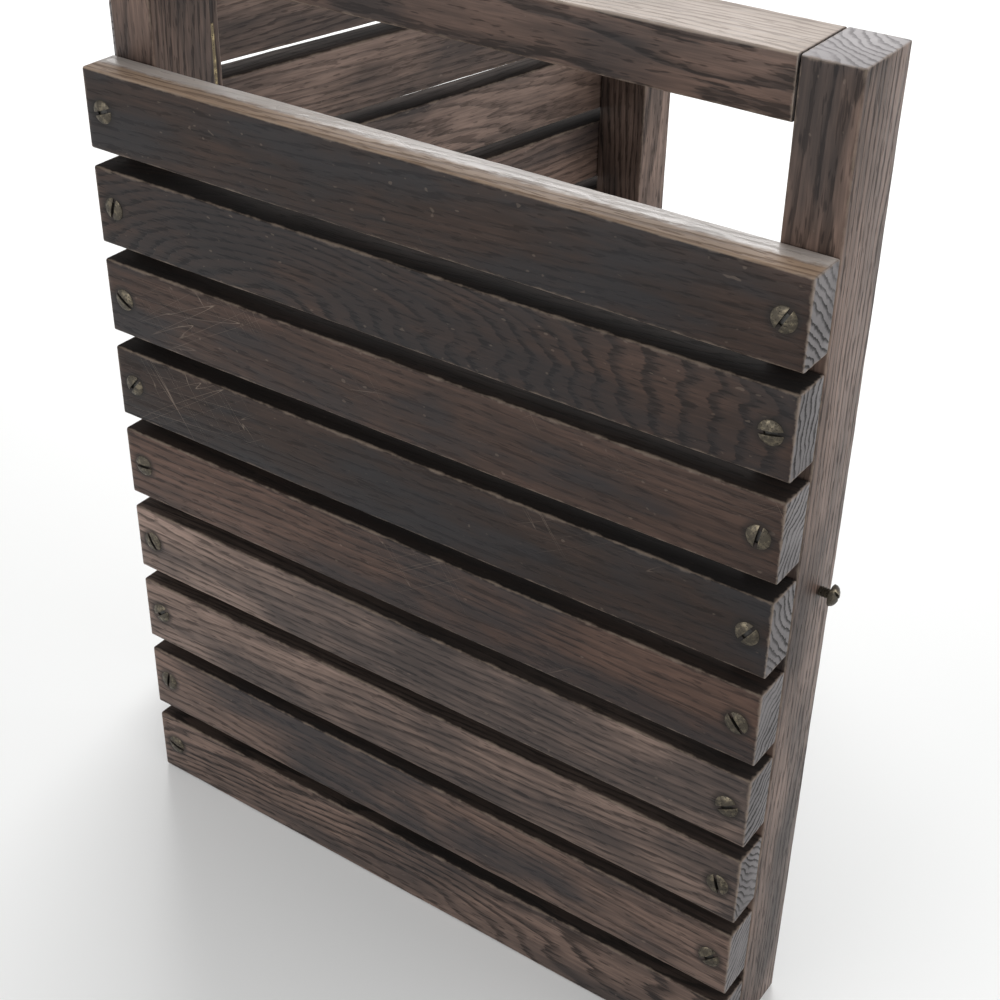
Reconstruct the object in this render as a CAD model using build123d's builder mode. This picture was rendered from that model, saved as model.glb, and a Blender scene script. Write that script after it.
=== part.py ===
"""Folding magazine rack of dark oak: two equal slatted leaves that close like a book.

Each leaf is a frame of two posts, a top rail and a bottom rail, with slats screwed to its outer
side. The leaves meet on two butt hinges, and a hook on the side leaf drops over a proud screw on
the front leaf to keep the rack closed. The rack is built open, as it stands in use.

A leaf has its own directions: along it from the hinge end, out from the meeting face towards the
slats, and up. The meeting face is where the posts of the two leaves come together when closed.
"""

from build123d import *
from math import asin, cos, radians, sin
import os

os.makedirs("parts", exist_ok=True)

# Leaf
leaf_width = 316.0
post_height = 422.0
frame_stock_width = 22.0
frame_stock_depth = 34.0
frame_edge = 1.2
bottom_rail_rise = 8.0

# Slats
slat_count = 9
slat_height = 34.0
slat_gap = 7.0
slat_thickness = 18.0
slat_edge = 1.4

# Slat screws
slat_screw_inset = 9.0
slat_screw_radius = 2.0
slat_screw_head_radius = 4.8
slat_screw_head_depth = 2.8
slat_screw_dome = 0.9
slat_screw_length = 32.0
screw_slot_width = 1.3
screw_slot_depth = 1.3
screw_clearance = 0.08
slot_turn_step = 47.0
screw_tip_share = 0.55
dome_shoulder_share = 0.62
dome_shoulder_rise = 0.8

# Rail dowels
dowel_radius = 3.0
dowel_length = 36.0
dowel_inset = 6.5
dowel_spacing = 9.5
dowel_clearance = 0.05
dowel_end_room = 0.5

# Hinges
leaf_opening = 78.0
meeting_clearance = 0.4
hinge_length = 50.0
hinge_plate_width = 18.0
hinge_plate_thickness = 1.5
hinge_mortise_clearance = 0.05
knuckle_count = 5
knuckle_gap = 0.3
knuckle_radius = 3.4
hinge_axis_offset = 3.8
pin_radius = 1.7
pin_clearance = 0.05
pin_cap_radius = 2.6
pin_cap_height = 1.2
hinge_end_distance = 62.0
hinge_screw_count = 3
hinge_screw_radius = 1.5
hinge_screw_head_radius = 2.9
hinge_screw_head_depth = 1.3
hinge_screw_length = 14.0
hinge_screw_dome = 0.05
hinge_slot_width = 0.8
hinge_slot_depth = 0.8
plate_setback = 0.6

# Hook and keeper
keeper_height = 221.0
keeper_inset = 12.0
keeper_shank_radius = 2.0
keeper_head_radius = 4.2
keeper_head_height = 2.8
keeper_neck = 4.6
keeper_depth = 17.0
keeper_tip_length = 1.5
keeper_taper_length = 5.0
hook_thickness = 2.0
hook_arm_width = 6.0
hook_eye_radius = 5.2
hook_end_radius = 5.4
hook_side_gap = 0.5
hook_pivot_clearance = 0.1
hook_notch_clearance = 0.4
hook_screw_inset = 14.0

# Worked out from the sizes above
slat_pitch = slat_height + slat_gap
rail_length = leaf_width - 2 * frame_stock_width
slat_face = meeting_clearance + frame_stock_depth
slat_bottoms = [(slat_count - 1 - i) * slat_pitch for i in range(slat_count)]
top_rail_bottom = post_height - frame_stock_width
knuckle_step = hinge_length / knuckle_count
hinge_bottoms = {
    "lower": hinge_end_distance,
    "upper": post_height - hinge_end_distance - hinge_length,
}
hook_length = keeper_inset + hook_screw_inset + 2 * meeting_clearance


class Leaf:
    """One leaf's directions: its angle, and the side of its meeting face that it lies on."""

    def __init__(self, name, angle, side):
        self.name = name
        self.side = side
        self.along = Vector(cos(radians(angle)), sin(radians(angle)), 0)
        self.out = Vector(-sin(radians(angle)), cos(radians(angle)), 0) * side
        self.start = Vector(0, 0, 0)

    def point(self, along, out, up):
        """The place at these distances from the hinge axis's foot."""
        return self.start + self.along * along + self.out * out + Vector(0, 0, up)

    def level(self, up):
        """A level plane: x runs along the leaf, y to the left of that."""
        return Plane(origin=self.point(0, 0, up), x_dir=self.along, z_dir=(0, 0, 1))

    def face(self, out):
        """An upright plane at this distance from the meeting face, with its z outwards."""
        return Plane(origin=self.point(0, out, 0), x_dir=self.along, z_dir=self.out)

    def face_height(self, up):
        """The y of a height on the face planes, which points down where z and x ask for it."""
        return up if self.side < 0 else -up

    def end(self, along):
        """An upright plane square to the leaf, with its z along the leaf and x outwards."""
        return Plane(origin=self.point(along, 0, 0), x_dir=self.out, z_dir=self.along)

    def end_height(self, up):
        """The y of a height on the end planes."""
        return up if self.side > 0 else -up


front = Leaf("front", 0.0, -1)
side = Leaf("side", leaf_opening, 1)

# Distances along a leaf are from the posts' outer face at the hinge end
axis_to_post = hinge_axis_offset


def bar(leaf, along, out, up, length, depth, height, edge, grain):
    """A planed bar between its corner and its sizes, with the long edges eased."""
    with BuildPart() as piece:
        with BuildSketch(leaf.level(up)):
            with Locations((axis_to_post + along + length / 2, leaf.side * (out + depth / 2))):
                Rectangle(length, depth)
        extrude(amount=height)
        if grain == "up":
            chamfer(piece.edges().filter_by(Axis.Z), length=edge)
        else:
            long_edges = [e for e in piece.edges() if abs(e.length - length) < 1e-4]
            chamfer(long_edges, length=edge)
    return piece.part


def bore_from_face(leaf, out, spots, radius, depth, inwards):
    """Round holes from an upright plane, into the wood towards or away from the meeting face."""
    with BuildSketch(leaf.face(out)) as holes:
        with Locations(*[(axis_to_post + a, leaf.face_height(z)) for a, z in spots]):
            Circle(radius)
    extrude(holes.sketch, amount=-depth if inwards else depth, mode=Mode.SUBTRACT)


def bore_from_end(leaf, along, spots, radius, depth):
    """Round holes along the leaf from an upright plane square to it."""
    with BuildSketch(leaf.end(axis_to_post + along)) as holes:
        with Locations(*[(v, leaf.end_height(z)) for v, z in spots]):
            Circle(radius)
    extrude(holes.sketch, amount=depth, mode=Mode.SUBTRACT)


def dowel_spots(rail_bottom):
    """Where a rail's two dowels lie on its end."""
    height = rail_bottom + frame_stock_width / 2
    inner = meeting_clearance + dowel_inset
    return [(inner, height), (inner + dowel_spacing, height)]


def hinge_screw_spots(hinge_bottom):
    """Where a hinge plate's screws lie on the meeting face."""
    step = hinge_length / hinge_screw_count
    middle = (hinge_plate_width + plate_setback) / 2
    return [(middle, hinge_bottom + step * (i + 0.5)) for i in range(hinge_screw_count)]


def slat_screw_spots(along):
    """The middles of the slats at this distance along the leaf."""
    return [(along, bottom + slat_height / 2) for bottom in slat_bottoms]


rail_bottoms = {"bottom": bottom_rail_rise, "top": top_rail_bottom}
slat_screw_rows = (slat_screw_inset, leaf_width - slat_screw_inset)


def post(leaf, label, along, is_hinge_post):
    """An upright with holes for the slat screws and rail dowels, and its hinge or catch work."""
    rail_side = along + frame_stock_width if is_hinge_post else along
    blank = bar(
        leaf, along, meeting_clearance, 0,
        frame_stock_width, frame_stock_depth, post_height, frame_edge, "up",
    )
    screw_row = slat_screw_rows[0] if is_hinge_post else slat_screw_rows[1]
    screw_depth = slat_screw_length - slat_thickness + screw_clearance
    with BuildPart() as piece:
        add(blank)
        bore_from_face(leaf, slat_face, slat_screw_spots(screw_row),
                       slat_screw_radius + screw_clearance, screw_depth, True)
        dowel_depth = dowel_length / 2 + dowel_end_room
        for rail_bottom in rail_bottoms.values():
            dowel_start = rail_side - dowel_depth if is_hinge_post else rail_side
            bore_from_end(leaf, dowel_start, dowel_spots(rail_bottom),
                          dowel_radius + dowel_clearance, dowel_depth)
        if is_hinge_post:
            for hinge_bottom in hinge_bottoms.values():
                with BuildSketch(leaf.face(meeting_clearance)):
                    middle = axis_to_post + (hinge_plate_width + plate_setback) / 2
                    height = leaf.face_height(hinge_bottom + hinge_length / 2)
                    with Locations((middle, height)):
                        Rectangle(hinge_plate_width + plate_setback + 2 * hinge_mortise_clearance,
                                  hinge_length + 2 * hinge_mortise_clearance)
                extrude(amount=hinge_plate_thickness + hinge_mortise_clearance, mode=Mode.SUBTRACT)
                bore_from_face(leaf, meeting_clearance, hinge_screw_spots(hinge_bottom),
                               hinge_screw_radius + screw_clearance,
                               hinge_screw_length + screw_clearance, False)
        else:
            inset = keeper_inset if leaf is front else hook_screw_inset
            bore_from_end(leaf, leaf_width - keeper_depth, [(meeting_clearance + inset, keeper_height)],
                          keeper_shank_radius + screw_clearance, keeper_depth)
    piece.part.label = label
    return piece


def rail(leaf, label, bottom):
    """A rail butted between the posts on two dowels at each end."""
    blank = bar(
        leaf, frame_stock_width, meeting_clearance, bottom,
        rail_length, frame_stock_depth, frame_stock_width, frame_edge, "along",
    )
    dowel_depth = dowel_length / 2 + dowel_end_room
    with BuildPart() as piece:
        add(blank)
        for start in (frame_stock_width, leaf_width - frame_stock_width - dowel_depth):
            bore_from_end(leaf, start, dowel_spots(bottom), dowel_radius + dowel_clearance, dowel_depth)
    piece.part.label = label
    return piece


def slat(leaf, label, bottom):
    """A slat with a countersunk hole near each end."""
    blank = bar(
        leaf, 0, slat_face, bottom,
        leaf_width, slat_thickness, slat_height, slat_edge, "along",
    )
    face = slat_face + slat_thickness
    height = bottom + slat_height / 2
    with BuildPart() as piece:
        add(blank)
        for along in slat_screw_rows:
            with BuildSketch(leaf.face(face)):
                with Locations((axis_to_post + along, leaf.face_height(height))):
                    Circle(slat_screw_head_radius + screw_clearance)
            with BuildSketch(leaf.face(face - slat_screw_head_depth)):
                with Locations((axis_to_post + along, leaf.face_height(height))):
                    Circle(slat_screw_radius + screw_clearance)
            loft(mode=Mode.SUBTRACT)
            bore_from_face(leaf, face, [(along, height)],
                           slat_screw_radius + screw_clearance, slat_thickness, True)
    piece.part.label = label
    return piece


def wood_screw(radius, length, head_radius, head_depth, dome, slot_width, slot_depth):
    """A countersunk slotted screw: its shank runs down from its head, whose rim is at z 0."""
    with BuildPart() as screw:
        with BuildSketch(Plane.XZ):
            with BuildLine():
                Polyline(
                    (0, -length), (radius * screw_tip_share, -length + radius),
                    (radius, -length + 3 * radius),
                    (radius, -head_depth), (head_radius, 0),
                    (head_radius * dome_shoulder_share, dome * dome_shoulder_rise),
                    (0, dome), (0, -length),
                )
            make_face()
        revolve(axis=Axis.Z)
        with BuildSketch(Plane.XY.offset(dome)):
            Rectangle(3 * head_radius, slot_width)
        extrude(amount=-slot_depth, mode=Mode.SUBTRACT)
    return screw.part


def screws(leaf, label, screw, out, spots, outwards):
    """Equal screws set in an upright face, each with its slot turned differently."""
    facing = leaf.out if outwards else leaf.out * -1
    with BuildPart() as group:
        for count, (along, height) in enumerate(spots):
            seat = Plane(
                origin=leaf.point(axis_to_post + along, out, height), x_dir=leaf.along, z_dir=facing
            )
            turned = seat.location * Location((0, 0, 0), (0, 0, count * slot_turn_step))
            add(screw.moved(turned))
    group.part.label = label
    return group


def dowels(leaf, label):
    """The round dowels of the four rail joints."""
    starts = (frame_stock_width - dowel_length / 2, leaf_width - frame_stock_width - dowel_length / 2)
    with BuildPart() as group:
        for rail_bottom in rail_bottoms.values():
            for start in starts:
                with BuildSketch(leaf.end(axis_to_post + start)):
                    with Locations(*[(v, leaf.end_height(z)) for v, z in dowel_spots(rail_bottom)]):
                        Circle(dowel_radius)
                extrude(amount=dowel_length)
    group.part.label = label
    return group


def hinge_plate(leaf, label, hinge_bottom, first_knuckle):
    """A hinge plate let into its post, with every second knuckle."""
    plate_start = axis_to_post + plate_setback
    seat = meeting_clearance
    with BuildPart() as plate:
        with BuildSketch(leaf.level(hinge_bottom)):
            middle = plate_start + hinge_plate_width / 2
            with Locations((middle, leaf.side * (seat + hinge_plate_thickness / 2))):
                Rectangle(hinge_plate_width, hinge_plate_thickness)
        extrude(amount=hinge_length)
        for knuckle in range(first_knuckle, knuckle_count, 2):
            bottom = hinge_bottom + knuckle * knuckle_step + knuckle_gap / 2
            with BuildSketch(leaf.level(bottom)):
                Circle(knuckle_radius)
                with Locations((plate_start / 2, leaf.side * (seat + hinge_plate_thickness / 2))):
                    Rectangle(plate_start, hinge_plate_thickness)
            extrude(amount=knuckle_step - knuckle_gap)
        with BuildSketch(leaf.level(hinge_bottom)):
            Circle(pin_radius + pin_clearance)
        extrude(amount=hinge_length, mode=Mode.SUBTRACT)
        for along, height in hinge_screw_spots(hinge_bottom):
            spot = (axis_to_post + along, leaf.face_height(height))
            with BuildSketch(leaf.face(seat)):
                with Locations(spot):
                    Circle(hinge_screw_head_radius + screw_clearance)
            with BuildSketch(leaf.face(seat + hinge_screw_head_depth)):
                with Locations(spot):
                    Circle(hinge_screw_radius + screw_clearance)
            loft(mode=Mode.SUBTRACT)
            bore_from_face(leaf, seat, [(along, height)],
                           hinge_screw_radius + screw_clearance, hinge_plate_thickness, False)
    plate.part.label = label
    return plate


def hinge_pin(label, hinge_bottom):
    """A loose-fitting pin with a flat cap at each end."""
    with BuildPart() as pin:
        with BuildSketch(front.level(hinge_bottom - pin_cap_height)):
            Circle(pin_radius)
        extrude(amount=hinge_length + 2 * pin_cap_height)
        for bottom in (hinge_bottom - pin_cap_height, hinge_bottom + hinge_length):
            with BuildSketch(front.level(bottom)):
                Circle(pin_cap_radius)
            extrude(amount=pin_cap_height)
    pin.part.label = label
    return pin


def round_head_screw(leaf, label, inset, neck):
    """A round-headed slotted screw in a post's outer face, standing proud by its neck."""
    top = neck + keeper_head_height
    dome_radius = (keeper_head_radius**2 + keeper_head_height**2) / (2 * keeper_head_height)
    half_turn = asin(keeper_head_radius / dome_radius) / 2
    with BuildPart() as screw:
        with BuildSketch(Plane.XZ):
            with BuildLine():
                shank = Polyline(
                    (0, -keeper_depth),
                    (keeper_shank_radius * screw_tip_share, -keeper_depth + keeper_tip_length),
                    (keeper_shank_radius, -keeper_depth + keeper_taper_length),
                    (keeper_shank_radius, neck),
                    (keeper_head_radius, neck),
                )
                ThreePointArc(
                    shank @ 1,
                    (dome_radius * sin(half_turn), top - dome_radius * (1 - cos(half_turn))),
                    (0, top),
                )
                Line((0, top), (0, -keeper_depth))
            make_face()
        revolve(axis=Axis.Z)
        with BuildSketch(Plane.XY.offset(top)):
            Rectangle(3 * keeper_head_radius, screw_slot_width)
        extrude(amount=-screw_slot_depth, mode=Mode.SUBTRACT)
    seat = Plane(
        origin=leaf.point(axis_to_post + leaf_width, meeting_clearance + inset, keeper_height),
        x_dir=leaf.out, z_dir=leaf.along,
    )
    with BuildPart() as placed:
        add(screw.part.moved(seat.location))
    placed.part.label = label
    return placed


def hook_piece(label):
    """A flat hook that hangs from its screw and swings towards the front leaf's keeper."""
    eye = (meeting_clearance + hook_screw_inset, side.end_height(keeper_height))
    end = (eye[0], eye[1] - side.side * hook_length)
    notch_radius = keeper_shank_radius + hook_notch_clearance
    with BuildPart() as hook:
        with BuildSketch(side.end(axis_to_post + leaf_width + hook_side_gap)):
            with Locations(eye):
                Circle(hook_eye_radius)
            with Locations(end):
                Circle(hook_end_radius)
            with Locations(((eye[0] + end[0]) / 2, (eye[1] + end[1]) / 2)):
                Rectangle(hook_arm_width, hook_length)
            with Locations(eye):
                Circle(keeper_shank_radius + hook_pivot_clearance, mode=Mode.SUBTRACT)
            with Locations(end):
                Circle(notch_radius, mode=Mode.SUBTRACT)
            with Locations((end[0] + hook_end_radius, end[1])):
                Rectangle(2 * hook_end_radius, 2 * notch_radius, mode=Mode.SUBTRACT)
        extrude(amount=hook_thickness)
    hook.part.label = label
    return hook


slat_screw = wood_screw(
    slat_screw_radius, slat_screw_length, slat_screw_head_radius, slat_screw_head_depth,
    slat_screw_dome, screw_slot_width, screw_slot_depth,
)
hinge_screw = wood_screw(
    hinge_screw_radius, hinge_screw_length, hinge_screw_head_radius, hinge_screw_head_depth,
    hinge_screw_dome, hinge_slot_width, hinge_slot_depth,
)

pieces = []
for leaf in (front, side):
    free_post_start = leaf_width - frame_stock_width
    pieces.append(post(leaf, f"{leaf.name}_hinge_post", 0, True))
    pieces.append(post(leaf, f"{leaf.name}_free_post", free_post_start, False))
    for place, bottom in rail_bottoms.items():
        pieces.append(rail(leaf, f"{leaf.name}_{place}_rail", bottom))
    for number, bottom in enumerate(slat_bottoms, start=1):
        pieces.append(slat(leaf, f"{leaf.name}_slat_{number}", bottom))
    slat_spots = [spot for row in slat_screw_rows for spot in slat_screw_spots(row)]
    pieces.append(screws(leaf, f"{leaf.name}_slat_screws", slat_screw,
                         slat_face + slat_thickness, slat_spots, True))
    pieces.append(dowels(leaf, f"{leaf.name}_dowels"))
    hinge_spots = [spot for bottom in hinge_bottoms.values() for spot in hinge_screw_spots(bottom)]
    pieces.append(screws(leaf, f"{leaf.name}_hinge_screws", hinge_screw,
                         meeting_clearance, hinge_spots, False))
    for place, bottom in hinge_bottoms.items():
        pieces.append(hinge_plate(leaf, f"{place}_hinge_{leaf.name}_plate", bottom,
                                  0 if leaf is front else 1))

for place, bottom in hinge_bottoms.items():
    pieces.append(hinge_pin(f"{place}_hinge_pin", bottom))

pieces.append(round_head_screw(front, "keeper_screw", keeper_inset, keeper_neck))
pieces.append(round_head_screw(side, "hook_screw", hook_screw_inset,
                               hook_thickness + 2 * hook_side_gap))
pieces.append(hook_piece("hook"))

# The origin goes to the middle of the whole rack's box, on the floor
whole = Compound(children=[Part(p.part.wrapped) for p in pieces]).bounding_box()
centre = Vector((whole.min.X + whole.max.X) / 2, (whole.min.Y + whole.max.Y) / 2, 0)
for piece in pieces:
    label = piece.part.label
    placed = piece.part.moved(Location(-centre))
    placed.label = label
    export_step(placed, f"parts/{label}.step")

print("pieces", len(pieces))
print("hinge axis", -centre.X, -centre.Y)
print("box", whole.max.X - whole.min.X, whole.max.Y - whole.min.Y, whole.max.Z, whole.min.Z)
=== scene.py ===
"""Looks of the folding magazine rack: worn dark oak slats on two hinged leaves, with dull brass fittings."""

import logging
import math
from collections.abc import Callable
from dataclasses import dataclass, field
from enum import Enum

import bpy
from mathutils import Matrix, Vector


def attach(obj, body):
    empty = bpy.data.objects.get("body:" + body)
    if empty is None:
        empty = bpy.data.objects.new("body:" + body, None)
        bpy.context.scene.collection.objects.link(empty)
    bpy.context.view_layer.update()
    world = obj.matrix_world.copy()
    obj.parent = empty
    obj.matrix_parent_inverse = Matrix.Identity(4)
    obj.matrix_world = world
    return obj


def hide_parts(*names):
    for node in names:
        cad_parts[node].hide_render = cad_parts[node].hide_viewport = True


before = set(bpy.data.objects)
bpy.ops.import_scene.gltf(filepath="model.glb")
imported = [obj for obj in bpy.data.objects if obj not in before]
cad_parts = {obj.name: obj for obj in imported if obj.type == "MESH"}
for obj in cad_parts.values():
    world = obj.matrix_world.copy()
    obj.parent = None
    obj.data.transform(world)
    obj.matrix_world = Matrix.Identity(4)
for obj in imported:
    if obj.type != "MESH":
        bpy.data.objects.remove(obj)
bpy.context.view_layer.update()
log = logging.getLogger("magazine_rack")

Triple = tuple[float, float, float]
Colour = tuple[float, float, float, float]
Socket = bpy.types.NodeSocket
Value = Socket | float | Vector | tuple | None
Values = dict[str | int, Value]

VECTOR = "NodeSocketVector"
NUMBER = "NodeSocketFloat"
COLOUR = "NodeSocketColor"

MM = 0.001
# Two places this near to each other are the same place.
TOUCH = 0.01 * MM
# The foot of the hinges' axis, and how far the posts start from it.
HINGE_FOOT = Vector((-0.138344, -0.135223, 0.0))
POST_START = 3.8 * MM
OPENING_DEGREES = 78.0


class Grain(Enum):
    """The direction in which a board's grain runs."""

    ALONG = 0
    UP = 2


class Tap(Enum):
    """What a cutter takes out of a board."""

    BORE = "bore along the leaf"
    SINK = "sunk hole for a screw's head"
    POCKET = "pocket"


@dataclass(frozen=True)
class Cut:
    """One hole or pocket in a board.

    A pocket's size is its three sides. A hole's size is its radius, its depth and its radius at the far end.
    """

    tap: Tap
    middle: Triple
    size: Triple


class Bench:
    """The workbench: what is done to a mesh by hand, one operation at a time."""

    @staticmethod
    def clear() -> None:
        """Leaves nothing selected."""
        if bpy.context.object is not None and bpy.context.object.mode != "OBJECT":
            bpy.ops.object.mode_set(mode="OBJECT")
        bpy.ops.object.select_all(action="DESELECT")

    @staticmethod
    def pick(piece: bpy.types.Object) -> None:
        """Selects one piece and makes it active.

        Args:
            piece: The piece.
        """
        Bench.clear()
        piece.select_set(True)
        bpy.context.view_layer.objects.active = piece

    @staticmethod
    def settle() -> None:
        """Writes the selected object's place, turn and scale into its mesh."""
        bpy.ops.object.transform_apply(location=True, rotation=True, scale=True)

    @staticmethod
    def block(name: str, middle: Vector, size: Vector) -> bpy.types.Object:
        """A plain block of wood or a block-shaped cutter.

        Args:
            name: The new piece's name.
            middle: Its middle.
            size: Its three sizes.

        Returns:
            The block, with its place in its mesh.
        """
        Bench.clear()
        bpy.ops.mesh.primitive_cube_add(size=1.0, location=middle)
        piece = bpy.context.object
        piece.name = name
        piece.scale = size
        Bench.settle()
        return piece

    @staticmethod
    def edges(piece: bpy.types.Object, wanted: Callable[[Vector, Vector], bool]) -> None:
        """Opens a piece in edit mode with the wanted edges selected.

        Args:
            piece: The piece to open.
            wanted: Says of an edge's two ends whether the edge is selected.
        """
        Bench.pick(piece)
        bpy.context.tool_settings.mesh_select_mode = (False, True, False)
        mesh = piece.data
        for part in (*mesh.vertices, *mesh.polygons):
            part.select = False
        for edge in mesh.edges:
            first, last = (mesh.vertices[i].co for i in edge.vertices)
            edge.select = wanted(first, last)
        bpy.ops.object.mode_set(mode="EDIT")

    @staticmethod
    def faces(piece: bpy.types.Object, wanted: Callable[[bpy.types.MeshPolygon], bool]) -> None:
        """Opens a piece in edit mode with the wanted faces selected.

        Args:
            piece: The piece to open.
            wanted: Says of a face whether it is selected.
        """
        Bench.pick(piece)
        bpy.context.tool_settings.mesh_select_mode = (False, False, True)
        for part in (*piece.data.vertices, *piece.data.edges):
            part.select = False
        for face in piece.data.polygons:
            face.select = wanted(face)
        bpy.ops.object.mode_set(mode="EDIT")

    @staticmethod
    def done() -> None:
        """Goes back to object mode."""
        bpy.ops.object.mode_set(mode="OBJECT")

    @staticmethod
    def apply(piece: bpy.types.Object) -> None:
        """Applies every modifier of a piece.

        Args:
            piece: The piece.
        """
        Bench.pick(piece)
        for modifier in list(piece.modifiers):
            bpy.ops.object.modifier_apply(modifier=modifier.name)

    @staticmethod
    def place(piece: bpy.types.Object, matrix: Matrix) -> None:
        """Moves a piece's mesh by a matrix, so that its object stays at the origin.

        Args:
            piece: The piece.
            matrix: Where its mesh goes.
        """
        Bench.pick(piece)
        piece.matrix_world = matrix
        Bench.settle()

    @staticmethod
    def join(pieces: list[bpy.types.Object], name: str) -> bpy.types.Object:
        """Joins pieces into one.

        Args:
            pieces: The pieces, of which the first one stays.
            name: The joined piece's name.

        Returns:
            The joined piece.
        """
        Bench.clear()
        for piece in pieces:
            piece.select_set(True)
        bpy.context.view_layer.objects.active = pieces[0]
        bpy.ops.object.join()
        pieces[0].name = name
        pieces[0].data.name = name
        return pieces[0]

    @staticmethod
    def subtract(piece: bpy.types.Object, cutter: bpy.types.Object) -> None:
        """Takes a cutter out of a piece and throws the cutter away.

        Args:
            piece: What is cut.
            cutter: What is taken out of it.
        """
        modifier = piece.modifiers.new("cut", "BOOLEAN")
        modifier.operation = "DIFFERENCE"
        modifier.solver = "EXACT"
        modifier.object = cutter
        Bench.apply(piece)
        bpy.data.objects.remove(cutter, do_unlink=True)

    @staticmethod
    def paint(piece: bpy.types.Object, material: bpy.types.Material) -> None:
        """Gives a piece one material in place of what it has."""
        piece.data.materials.clear()
        piece.data.materials.append(material)

    @staticmethod
    def smooth(piece: bpy.types.Object, degrees: float) -> None:
        """Shades a piece smooth, apart from edges sharper than an angle."""
        Bench.pick(piece)
        bpy.ops.object.shade_smooth_by_angle(angle=math.radians(degrees))


@dataclass(frozen=True)
class Wiring:
    """Adds nodes to a tree and joins them."""

    tree: bpy.types.NodeTree

    def node(self, kind: str, values: Values | None = None, **settings: object) -> bpy.types.Node:
        """A new node.

        Args:
            kind: The node's type.
            values: What its inputs are joined or set to, by name or number.
            settings: Its settings by name, which come first.

        Returns:
            The node.
        """
        made = self.tree.nodes.new(kind)
        for name, setting in settings.items():
            setattr(made, name, setting)
        for name, value in (values or {}).items():
            if value is not None:
                self.feed(made.inputs[name], value)
        return made

    def feed(self, socket: Socket, value: Value) -> None:
        """Joins a socket to another, or sets its value.

        Args:
            socket: The input.
            value: Another socket, or what the input is set to.
        """
        if isinstance(value, Socket):
            self.tree.links.new(value, socket)
        else:
            socket.default_value = value

    def group(self, tree: bpy.types.NodeTree, values: Values) -> bpy.types.NodeOutputs:
        """What a shared group puts out for the given inputs."""
        return self.node("ShaderNodeGroup", values, node_tree=tree).outputs

    def place(self) -> Socket:
        """The point's place in the object's own coordinates."""
        return self.node("ShaderNodeTexCoord").outputs["Object"]

    def math(self, operation: str, first: Value, second: Value = None, clamp: bool = False) -> Socket:
        """The result of a sum on one or two values."""
        values = {0: first, 1: second}
        return self.node("ShaderNodeMath", values, operation=operation, use_clamp=clamp).outputs[0]

    def times(self, first: Value, second: Value, clamp: bool = False) -> Socket:
        """One value times another."""
        return self.math("MULTIPLY", first, second, clamp)

    def plus(self, first: Value, second: Value, clamp: bool = False) -> Socket:
        """One value with another added."""
        return self.math("ADD", first, second, clamp)

    def minus(self, first: Value, second: Value, clamp: bool = False) -> Socket:
        """One value with another taken off."""
        return self.math("SUBTRACT", first, second, clamp)

    def vector(self, operation: str, first: Value, second: Value = None, scale: Value = None) -> Socket:
        """The result of a sum on vectors, which is a number for a length."""
        made = self.node("ShaderNodeVectorMath", {0: first, 1: second, "Scale": scale}, operation=operation)
        return made.outputs["Value" if operation == "LENGTH" else "Vector"]

    def parts(self, value: Value) -> list[Socket]:
        """The three numbers of a vector."""
        return list(self.node("ShaderNodeSeparateXYZ", {0: value}).outputs)

    def whole(self, x: Value, y: Value, z: Value) -> Socket:
        """A vector made of three numbers."""
        return self.node("ShaderNodeCombineXYZ", {0: x, 1: y, 2: z}).outputs[0]

    def noises(self, place: Value, scale: Triple, detail: float, rough: float) -> bpy.types.NodeOutputs:
        """A stretched noise's number and colour.

        Args:
            place: Where the noise is read.
            scale: Its periods a metre in three directions.
            detail: How many finer layers it has.
            rough: How strong these are.

        Returns:
            The outputs.
        """
        values = {"Scale": 1.0, "Detail": detail, "Roughness": rough}
        values["Vector"] = self.vector("MULTIPLY", place, scale)
        return self.node("ShaderNodeTexNoise", values, noise_dimensions="3D").outputs

    def noise(self, place: Value, scale: Triple, detail: float = 2.0, rough: float = 0.5) -> Socket:
        """A noise's number."""
        return self.noises(place, scale, detail, rough)["Fac"]

    def ramp(self, value: Value, low: Value, high: Value, start: Value = 0.0, end: Value = 1.0) -> Socket:
        """A smooth step from one result to another as a value goes from low to high.

        Args:
            value: What goes from low to high.
            low: Where the step starts.
            high: Where it ends.
            start: The result below it.
            end: The result above it.

        Returns:
            The result.
        """
        values = {"Value": value, "From Min": low, "From Max": high, "To Min": start, "To Max": end}
        made = self.node("ShaderNodeMapRange", values, interpolation_type="SMOOTHSTEP", clamp=True)
        return made.outputs["Result"]

    def mix(self, share: Value, first: Value, second: Value, blend: str = "MIX") -> Socket:
        """A blend of two colours, where share is how much of the second one shows."""
        values = {0: share, 6: first, 7: second}
        return self.node("ShaderNodeMix", values, data_type="RGBA", blend_type=blend).outputs[2]

    def shade(self, colour: Socket, level: Socket) -> Socket:
        """A colour made lighter or darker by a level."""
        return self.mix(1.0, colour, self.whole(level, level, level), "MULTIPLY")

    def bump(self, shader: bpy.types.Node, height: Value, strength: float, depth: float) -> None:
        """Makes a shader's surface uneven, where a height of 1 stands for the depth in metres."""
        made = self.node("ShaderNodeBump", {"Strength": strength, "Distance": depth, "Height": height})
        self.feed(shader.inputs["Normal"], made.outputs["Normal"])


def new_material(name: str) -> tuple[bpy.types.Material, Wiring, bpy.types.Node]:
    """A plain material, with its wiring and its shader.

    Args:
        name: The material's name.

    Returns:
        The material, its wiring and its shader.
    """
    material = bpy.data.materials.new(name)
    material.use_nodes = True
    return material, Wiring(material.node_tree), material.node_tree.nodes["Principled BSDF"]


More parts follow.
